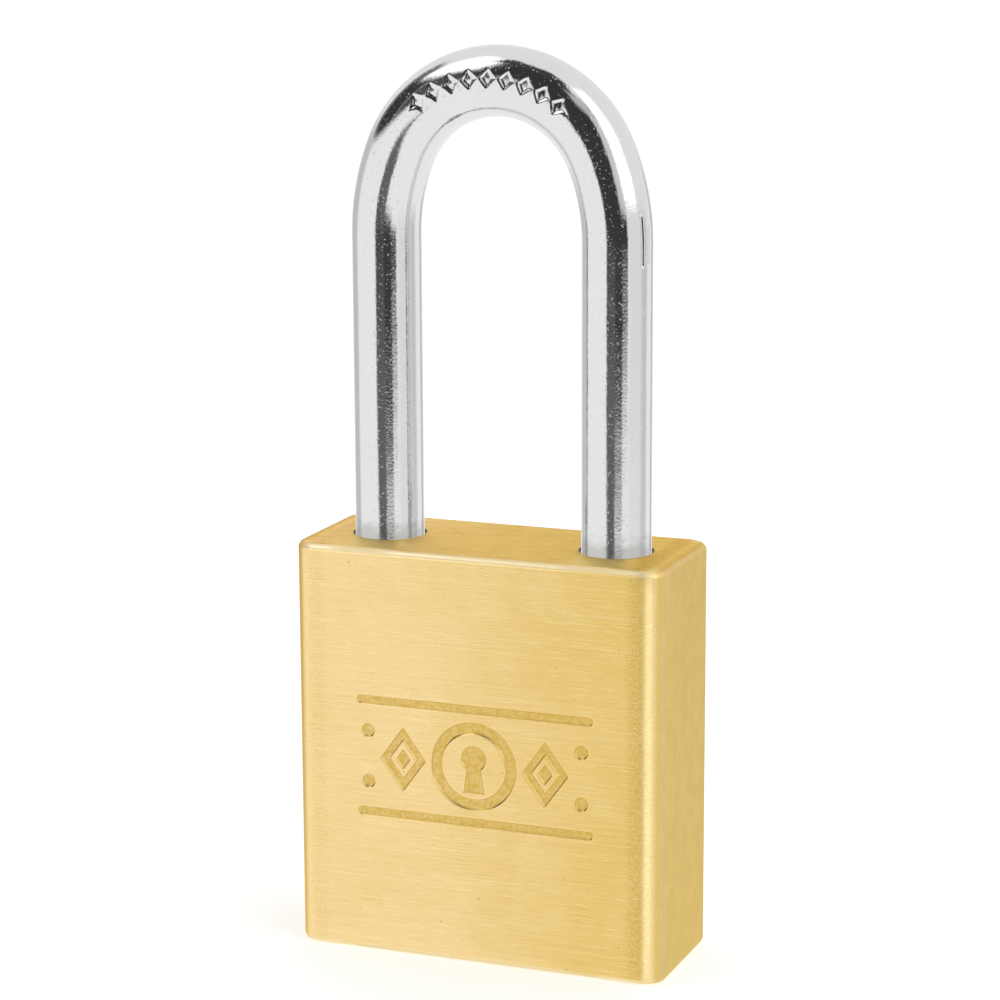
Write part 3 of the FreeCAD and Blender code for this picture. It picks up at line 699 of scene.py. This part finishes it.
def brass_edges(n, place, colour):
    """Ragged painted dark reflections beside the corners and before the side faces, a darker strip at the
    heel-side corner, and painted highlights on corners and rims.
    """
    coarse = n.fade(n.noise((2.5, 6.0, 3.5), 2.0, 0.6), 0.38, 0.62, 0.15, 0.9)
    # painted dark reflection beside the corners
    colour = n.mix(n.product(place.painted_dark_beside_corner, coarse, place.toe_side), colour, DARK_GOLD_STREAK_AND_SHADE)
    colour = n.mix(place.heel_edge, colour, DARK_GOLD_STREAK_AND_SHADE)
    # painted dark reflection along the corners' outer band
    colour = n.mix(place.painted_dark_outer_band, colour, DARK_GOLD_STREAK_AND_SHADE)
    # painted highlight on the crown of each corner, stronger on the toe side
    colour = n.mix(n.product(place.corner, 0.42), colour, PALE_GOLD_STREAK_AND_HIGHLIGHT)
    # painted highlight along the top and bottom rims, fainter near the corners
    painted_rim_highlight = n.product(place.rim, n.fade(place.across, HALF_WIDTH - 2.4, HALF_WIDTH - 0.8, 0.6, 0.15))
    return n.mix(painted_rim_highlight, colour, RIM_HIGHLIGHT_GOLD)


def brass_roughness(n, place, streak):
    """Satin on the front, duller on the sides and top, and softer where the rims pass legs and corners."""
    rough = n.fade(streak, 0.3, 0.7, 0.22, 0.36)
    soft_rim = n.maths("MAXIMUM", place.by_leg, n.fade(place.across, HALF_WIDTH - 2.8, HALF_WIDTH - 1.6))
    rim_share = n.fade(soft_rim, 0.0, 1.0, 0.03, 0.3)
    extras = ((place.on_side, 0.14), (place.on_top, 0.3), (place.rim, rim_share), (place.engraved, 0.1))
    for mask, extra in extras:
        rough = n.maths("ADD", rough, n.product(mask, extra))
    return rough


def body_brass():
    """Satin brass brushed along the width, with painted highlights on rims and corners, and engraved floors
    darkened partly by their stamped tone and partly by painted shade.
    """
    material, n, shader = new_material("body_brass")
    place = BrassPlaces(n)
    streak = brass_grain(n, place)
    cloud = n.noise((0.11, 0.16, 0.13), 3.0, 0.55, 0.6)
    speck = n.fade(n.noise((1.7, 1.7, 2.1), 1.0, 0.4), 0.77, 0.83, 0.0, 0.6)
    stamped = n.fade(n.noise((2.2, 2.2, 2.2), 3.0, 0.6), 0.35, 0.65, 0.45, 0.95)
    stamped_floor = n.product(place.engraved, stamped)
    colour = brass_wear_and_highlight(n, place, brass_faces(n, place, streak, cloud), speck)
    # darker stamped floors of the ornament, partly their own tone and partly painted shade
    colour = n.mix(stamped_floor, colour, ENGRAVED_TONE_AND_SHADE)
    # painted shade on the ornament's sloping walls
    colour = n.mix(place.wall, colour, SHADED_ENGRAVED_WALL)
    n.put(shader.inputs["Base Color"], brass_edges(n, place, colour))
    shader.inputs["Metallic"].default_value = 1.0
    shader.inputs["Specular Tint"].default_value = GRAZING_GOLD
    n.put(shader.inputs["Roughness"], brass_roughness(n, place, streak))
    relief = n.maths("SUBTRACT", streak, n.product(speck, 2.0))
    relief = n.maths("ADD", relief, n.product(stamped_floor, 1.5))
    smoothed = n.maths("MAXIMUM", place.on_side, place.corner)
    normal = n.bump(n.product(relief, n.fade(smoothed, 0.0, 1.0, 1.0, 0.25)), 0.010)
    n.put(shader.inputs["Normal"], n.bump(cloud, 0.02, normal))
    return material


def chrome():
    """Polished plate with fine pitting that breaks up the edges of its reflections, and a painted shade band
    where the legs enter the body.
    """
    material, n, shader = new_material("shackle_chrome")
    height = n.position()[2]
    haze = n.noise((0.35, 0.35, 0.2), 3.0, 0.6)
    colour = n.mix(haze, (0.755, 0.757, 0.755, 1), (0.80, 0.80, 0.795, 1))
    # painted shade: a grey band round the legs where they enter the body top, with a wobbling upper edge
    shade_edge_wobble = n.fade(n.noise((0.5, 0.5, 0.9), 2.0, 0.5), 0.3, 0.7, -0.4, 0.4)
    above_body = n.fade(n.maths("ADD", height, shade_edge_wobble), BODY_HEIGHT + 0.3, BODY_HEIGHT + 2.7, 1.0, 0.0)
    below_brim = n.fade(height, BODY_HEIGHT - 3.0, BODY_HEIGHT - 1.0)
    painted_shade_band = n.product(above_body, below_brim, 0.6)
    n.put(shader.inputs["Base Color"], n.mix(painted_shade_band, colour, (0.44, 0.43, 0.40, 1)))
    shader.inputs["Metallic"].default_value = 1.0
    grain = n.noise((4.5, 4.5, 3.6), 2.0, 0.6)
    pits = n.fade(n.noise((4.2, 4.2, 3.6), 1.0, 0.5), 0.66, 0.77)
    rough = n.fade(haze, 0.3, 0.7, 0.05, 0.09)
    n.put(shader.inputs["Roughness"], n.maths("ADD", rough, n.product(painted_shade_band, 0.12)))
    relief = n.maths("SUBTRACT", grain, n.product(pits, 1.6))
    normal = n.bump(relief, 0.007)
    normal = n.bump(n.noise((0.35, 0.35, 0.14), 2.0, 0.5), 0.035, normal)
    n.put(shader.inputs["Normal"], normal)
    return material


def worked_metal(name, light, dark, rough_low, rough_high, grain, depth):
    """Machined or drawn metal: colour, roughness and bump all follow one directional grain."""
    material, n, shader = new_material(name)
    line = n.noise(grain, 3.0, 0.6)
    cloud = n.noise((0.3, 0.3, 0.3), 3.0, 0.6, 0.8)
    colour = n.mix(n.fade(line, 0.3, 0.7), (*light, 1), (*dark, 1))
    colour = n.mix(n.fade(cloud, 0.55, 0.75, 0.0, 0.35), colour, (*[c * 0.6 for c in dark], 1))
    n.put(shader.inputs["Base Color"], colour)
    shader.inputs["Metallic"].default_value = 1.0
    n.put(shader.inputs["Roughness"], n.fade(line, 0.25, 0.75, rough_low, rough_high))
    n.put(shader.inputs["Normal"], n.bump(line, depth))
    return material


# ---------------------------------------------------------------- studio

def world_panel(n, azimuth, elevation, below, sides, heights, soft, level):
    """One soft-edged patch of the surroundings laid over what is below it."""
    left = n.fade(azimuth, sides[0] - soft, sides[0] + soft)
    right = n.fade(azimuth, sides[1] - soft, sides[1] + soft, 1.0, 0.0)
    low = n.fade(elevation, heights[0] - soft, heights[0] + soft)
    high = n.fade(elevation, heights[1] - soft, heights[1] + soft, 1.0, 0.0)
    mask = n.product(left, right, low, high)
    return n.mix(mask, below, (level, level, level, 1))


def build_world():
    """White tent with soft panels and a dark gap in front, worked out from direction alone."""
    world = bpy.data.worlds.new("studio")
    world.use_nodes = True
    bpy.context.scene.world = world
    n = Nodes(world.node_tree)
    world.node_tree.nodes.clear()
    direction = n.add("ShaderNodeSeparateXYZ")
    n.put(direction.inputs[0], n.add("ShaderNodeTexCoord").outputs["Generated"])
    to_degrees = 180 / math.pi
    azimuth = n.maths("ARCTAN2", direction.outputs["X"], n.product(direction.outputs["Y"], -1.0))
    azimuth = n.product(azimuth, to_degrees)
    elevation = n.product(n.maths("ARCSINE", direction.outputs["Z"]), to_degrees)
    tent = n.mix(n.fade(elevation, -14, 4), (1.0, 1.0, 1.0, 1), (0.9, 0.9, 0.9, 1))
    panels = (
        ((100, 128), (-16, 2), 6.0, 0.66),      # dimmer back, in folds
        ((157, 172), (-16, 4), 5.0, 0.55),
        ((-130, -91), (-16, 10), 5.0, 0.62),
        ((58, 105), (-14, 4), 8.0, 0.84),       # far edge of the table on the right
        ((-84, -18), (-14, 9), 5.0, 1.0),       # bright left wall
        ((-108, -78), (11, 46), 4.0, 0.18),     # dark gap on the left, with a grey edge
        ((-97, -58), (11, 36), 3.0, 0.045),
        ((-58, -18), (11, 33), 3.5, 0.09),      # deep grey wall between the gaps
        ((-84, -35), (38, 70), 4.0, 1.6),       # upper left softbox
        ((38, 54), (0, 50), 3.0, 0.70),         # pale frame of the right softbox
        ((54, 92), (6, 62), 3.0, 1.6),          # right softbox
        ((-15, 37), (-12.0, 66), 2.5, 0.045),   # dark gap in front, above the table
        ((-30, 30), (20, 66), 3.0, 0.04),
        ((-46, 44), (61, 77), 3.0, 0.06),
        ((23, 54), (37, 51), 4.0, 0.55),        # light spilling into the gap from the right
        ((0, 53), (-9.5, 1.5), 2.0, 0.045),
        ((-12, 13), (-21, -8), 2.5, 0.15),      # dim reflection low in the middle
    )
    glow = tent
    for sides, heights, soft, level in panels:
        glow = world_panel(n, azimuth, elevation, glow, sides, heights, soft, level)
    seen = n.add("ShaderNodeLightPath").outputs["Is Camera Ray"]
    background = n.add("ShaderNodeBackground")
    n.put(background.inputs["Color"], n.mix(seen, glow, (0.97, 0.97, 0.97, 1)))
    n.put(background.inputs["Strength"], 1.0)
    output = n.add("ShaderNodeOutputWorld")
    world.node_tree.links.new(background.outputs[0], output.inputs["Surface"])


def build_floor():
    """Plain pale table top, seen directly but left out of mirror reflections and shadows."""
    table = bmesh.new()
    bmesh.ops.create_circle(table, cap_ends=True, segments=96, radius=FLOOR_RADIUS)
    mesh = bpy.data.meshes.new("table_top")
    table.to_mesh(mesh)
    table.free()
    floor = add_object("table_top", mesh)
    floor.visible_glossy = False
    floor.visible_shadow = False
    material, n, shader = new_material("table_white")
    shader.inputs["Base Color"].default_value = (0.8, 0.8, 0.8, 1)
    shader.inputs["Roughness"].default_value = 0.9
    shader.inputs["Specular IOR Level"].default_value = 0.0
    shader.inputs["Emission Color"].default_value = (1, 1, 1, 1)
    shader.inputs["Emission Strength"].default_value = 0.5
    mesh.materials.append(material)


def build_fill_light(name, azimuth, elevation, width, height, radiance, receivers):
    """Soft light on the brass alone, which keeps the dark gap in front out of its satin sheen."""
    side = math.radians(azimuth)
    rise = math.radians(elevation)
    towards = Vector((math.sin(side) * math.cos(rise), -math.cos(side) * math.cos(rise), math.sin(rise)))
    data = bpy.data.lights.new(name, "AREA")
    data.shape = "RECTANGLE"
    data.size = width
    data.size_y = height
    data.energy = radiance * math.pi * width * height
    lamp = add_object(name, data)
    lamp.location = towards * FILL_DISTANCE
    lamp.rotation_euler = towards.to_track_quat("Z", "Y").to_euler()
    lamp.light_linking.receiver_collection = receivers


def build_fill_lights(lit):
    receivers = bpy.data.collections.new("brass_only")
    receivers.objects.link(lit)
    build_fill_light("brass_fill_high", 8.0, 30.0, 3.2, 1.2, 0.65, receivers)
    build_fill_light("brass_fill_low", 17.0, -8.0, 1.25, 0.6, 0.6, receivers)


def build_camera():
    azimuth = math.radians(VIEW_AZIMUTH)
    elevation = math.radians(VIEW_ELEVATION)
    roll = math.radians(VIEW_ROLL)
    back = Vector((math.sin(azimuth) * math.cos(elevation), -math.cos(azimuth) * math.cos(elevation),
                   math.sin(elevation)))
    right = Vector((math.cos(azimuth), math.sin(azimuth), 0))
    up = back.cross(right)
    target = right * VIEW_TARGET_RIGHT + Vector((0, 0, VIEW_TARGET_Z))
    place = (target + back * VIEW_DISTANCE) * MM
    rolled_right = right * math.cos(roll) + up * math.sin(roll)
    rolled_up = up * math.cos(roll) - right * math.sin(roll)
    data = bpy.data.cameras.new("photo_view")
    data.lens = LENS
    data.sensor_width = SENSOR
    data.clip_start = 0.01
    data.clip_end = 100
    camera = add_object("photo_view", data)
    camera.matrix_world = Matrix.Translation(place) @ Matrix(
        (rolled_right, rolled_up, back)).transposed().to_4x4()
    bpy.context.scene.camera = camera


# ---------------------------------------------------------------- the padlock

def paint(node, material):
    """Gives a CAD node one material."""
    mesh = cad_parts[node].data
    mesh.materials.clear()
    mesh.materials.append(material)


def paint_inner_pieces():
    spring_steel = worked_metal("spring_steel", (0.62, 0.62, 0.63), (0.42, 0.42, 0.44), 0.22, 0.4,
                                (1.5, 1.5, 6.0), 0.004)
    ball_steel = worked_metal("ball_steel", (0.80, 0.81, 0.82), (0.72, 0.73, 0.75), 0.08, 0.16,
                              (0.8, 0.8, 0.8), 0.001)
    cam_steel = worked_metal("cam_steel", (0.60, 0.59, 0.57), (0.44, 0.43, 0.41), 0.25, 0.42,
                             (1.0, 1.0, 7.0), 0.008)
    cylinder_brass = worked_metal("cylinder_brass", (0.84, 0.64, 0.29), (0.68, 0.49, 0.19), 0.28, 0.45,
                                  (4.0, 4.0, 4.0), 0.008)
    plug_brass = worked_metal("plug_brass", (0.90, 0.70, 0.34), (0.74, 0.55, 0.22), 0.2, 0.36,
                              (5.0, 5.0, 5.0), 0.006)
    clip_steel = worked_metal("clip_steel", (0.36, 0.37, 0.40), (0.22, 0.23, 0.27), 0.25, 0.4,
                              (3.0, 3.0, 3.0), 0.004)
    screw_steel = worked_metal("screw_steel", (0.16, 0.16, 0.17), (0.08, 0.08, 0.085), 0.35, 0.5,
                               (3.0, 3.0, 6.0), 0.006)
    pin_brass = worked_metal("pin_brass", (0.88, 0.68, 0.32), (0.72, 0.53, 0.21), 0.18, 0.32,
                             (2.0, 8.0, 2.0), 0.004)
    nickel_silver = worked_metal("pin_nickel_silver", (0.78, 0.76, 0.70), (0.64, 0.62, 0.55), 0.18, 0.32,
                                 (8.0, 2.0, 2.0), 0.004)
    for node in ("heel_locking_ball", "toe_locking_ball"):
        paint(node, ball_steel)
    # painted shade: near-black brass for the bores inside the block
    bore_brass_painted_shade = worked_metal("bore_brass_painted_shade", (0.17, 0.115, 0.05), (0.09, 0.06, 0.03), 0.4, 0.6,
                              (2.0, 2.0, 6.0), 0.008)
    paint("actuator_cam", cam_steel)
    paint("cylinder_housing", cylinder_brass)
    paint("pin_chamber_cover", cylinder_brass)
    paint("cylinder_plug", plug_brass)
    paint("plug_retainer_clip", clip_steel)
    paint("cylinder_retaining_screw", screw_steel)
    for number in range(1, 6):
        paint(f"key_pin_{number}", pin_brass)
        paint(f"driver_pin_{number}", nickel_silver)
        paint(f"driver_spring_{number}", spring_steel)
    return spring_steel, bore_brass_painted_shade


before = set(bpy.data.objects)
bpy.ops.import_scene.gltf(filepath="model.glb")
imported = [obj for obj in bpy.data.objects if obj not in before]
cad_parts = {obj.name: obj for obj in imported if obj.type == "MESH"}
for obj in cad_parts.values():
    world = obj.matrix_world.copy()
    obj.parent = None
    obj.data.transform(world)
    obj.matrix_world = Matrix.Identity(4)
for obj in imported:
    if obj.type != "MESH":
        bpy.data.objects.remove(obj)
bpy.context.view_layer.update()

build_camera()
build_world()
build_floor()

spring_steel, bore_brass_painted_shade = paint_inner_pieces()

body = build_body()
body.data.materials.append(body_brass())
body.data.materials.append(bore_brass_painted_shade)
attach(body, "lock_body")
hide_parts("body")
body.visible_glossy = False
build_fill_lights(body)

shackle = build_shackle()
shackle.data.materials.append(chrome())
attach(shackle, "shackle")
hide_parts("shackle")

spring = build_spring()
spring.data.materials.append(spring_steel)
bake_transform(spring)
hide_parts("shackle_spring")

bpy.context.scene.view_settings.view_transform = "Standard"
